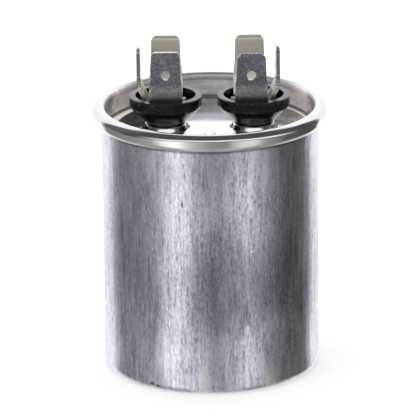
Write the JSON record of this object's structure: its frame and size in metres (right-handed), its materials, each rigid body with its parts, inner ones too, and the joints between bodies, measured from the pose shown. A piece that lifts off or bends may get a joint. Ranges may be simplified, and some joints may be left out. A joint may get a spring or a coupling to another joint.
{
  "type": "motor run capacitor",
  "caption": "Round metal-can motor run capacitor with a rolled rim and two insulated quick-connect tab clusters on its lid.",
  "frame": {"origin": "centre of the can's flat base", "axes": "+Z along the can towards the terminals; the two terminals lie on the X axis; -Y is the front"},
  "size_m": [0.052, 0.052, 0.0738],
  "materials": {
    "can_aluminium": "drawn, bright, with fine vertical streaks",
    "lid_metal": "bright rolled sheet, slightly stained",
    "compound": "soft sealing compound",
    "plug_metal": "dull",
    "black_plastic": "moulded, glossy",
    "tinned_brass": "tin plated, lightly marked",
    "rivet_metal": "tin plated",
    "seal_rubber": "matt",
    "insulator_plastic": "moulded",
    "lug_brass": "plain stamped",
    "hold_down_plastic": "moulded",
    "film": "wound metallised film",
    "core_board": "plain",
    "sprayed_metal": "rough sprayed",
    "wrap_film": "wound tape",
    "liner_board": "plain pressboard",
    "tinned_wire": "tinned wire",
    "sleeve_plastic": "extruded"
  },
  "bodies": {
    "root": {"can": "can_aluminium", "lid": "lid_metal", "seam_compound": "compound", "fill_plug": "plug_metal", "left_bushing": "black_plastic", "right_bushing": "black_plastic", "left_terminal": "tinned_brass", "right_terminal": "tinned_brass", "left_rivet": "rivet_metal", "right_rivet": "rivet_metal", "left_seal": "seal_rubber", "right_seal": "seal_rubber", "left_inner_insulator": "insulator_plastic", "right_inner_insulator": "insulator_plastic", "left_lug": "lug_brass", "right_lug": "lug_brass", "hold_down_cup": "hold_down_plastic", "winding": "film", "core_tube": "core_board", "top_end_spray": "sprayed_metal", "bottom_end_spray": "sprayed_metal", "outer_wrap": "wrap_film", "liner": "liner_board", "top_lead": "tinned_wire", "bottom_lead": "tinned_wire", "lead_sleeve": "sleeve_plastic"}
  },
  "joints": []
}
